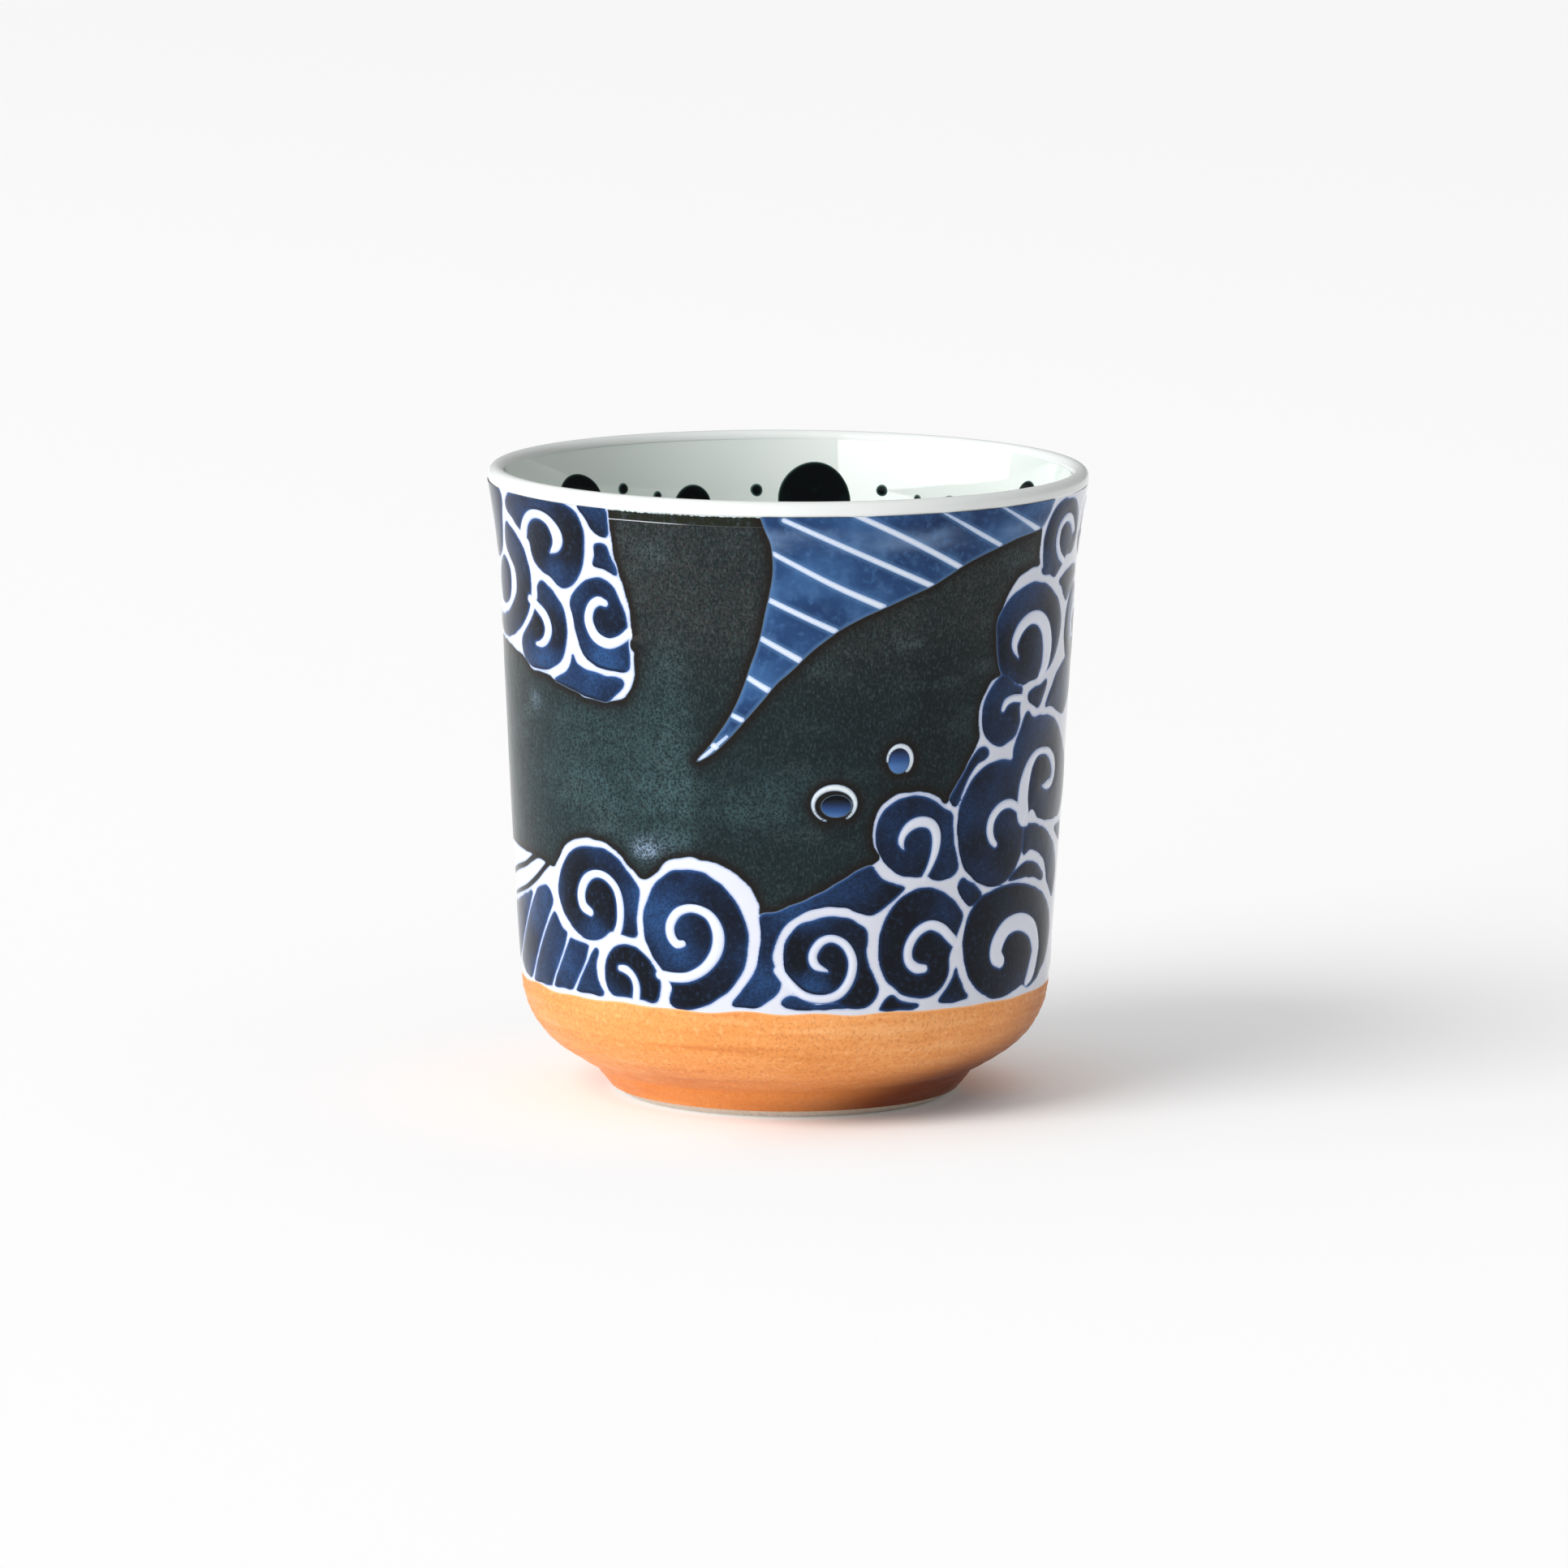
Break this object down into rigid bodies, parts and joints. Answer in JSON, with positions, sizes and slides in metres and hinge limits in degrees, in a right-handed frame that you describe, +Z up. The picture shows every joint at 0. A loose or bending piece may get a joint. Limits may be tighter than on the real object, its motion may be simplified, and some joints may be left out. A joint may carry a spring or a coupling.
{
  "type": "teacup",
  "caption": "Handleless cylindrical porcelain teacup with a flared lip, a turned foot ring and a raised scroll-and-fin glaze pattern over an ochre base band.",
  "frame": {"origin": "centre of the plane that the foot ring stands on, on the cup's axis", "axes": "+Z up along the cup's axis; -Y faces the side with the fin; +X to that side's right"},
  "size_m": [0.083, 0.083, 0.0873],
  "materials": {
    "porcelain": "bare fired porcelain, matt",
    "inside_glaze": "glossy pale celadon glaze",
    "white_glaze": "glossy white glaze",
    "ochre_slip": "satin ochre slip",
    "green_glaze": "glossy green-black glaze with fine speckle",
    "blue_glaze": "glossy dark blue glaze",
    "fin_blue_glaze": "glossy watery blue glaze",
    "white_slip": "raised white slip under clear glaze",
    "spot_glaze": "glossy green-black glaze"
  },
  "bodies": {
    "root": {"porcelain_body": "porcelain", "foot_ring": "porcelain", "inside_glaze": "inside_glaze", "lip_glaze": "white_glaze", "ochre_slip_band": "ochre_slip", "foot_recess_glaze": "white_glaze", "blue_fin_glaze": "fin_blue_glaze", "blue_scroll_glaze": "blue_glaze", "white_ground_glaze": "white_glaze", "green_field_glaze": "green_glaze", "bubble_glaze_drops": "fin_blue_glaze", "white_scroll_lines": "white_slip", "white_fin_stripes": "white_slip", "white_band_stripes": "white_slip", "bubble_rings": "white_slip", "inside_spots": "spot_glaze"}
  },
  "joints": []
}
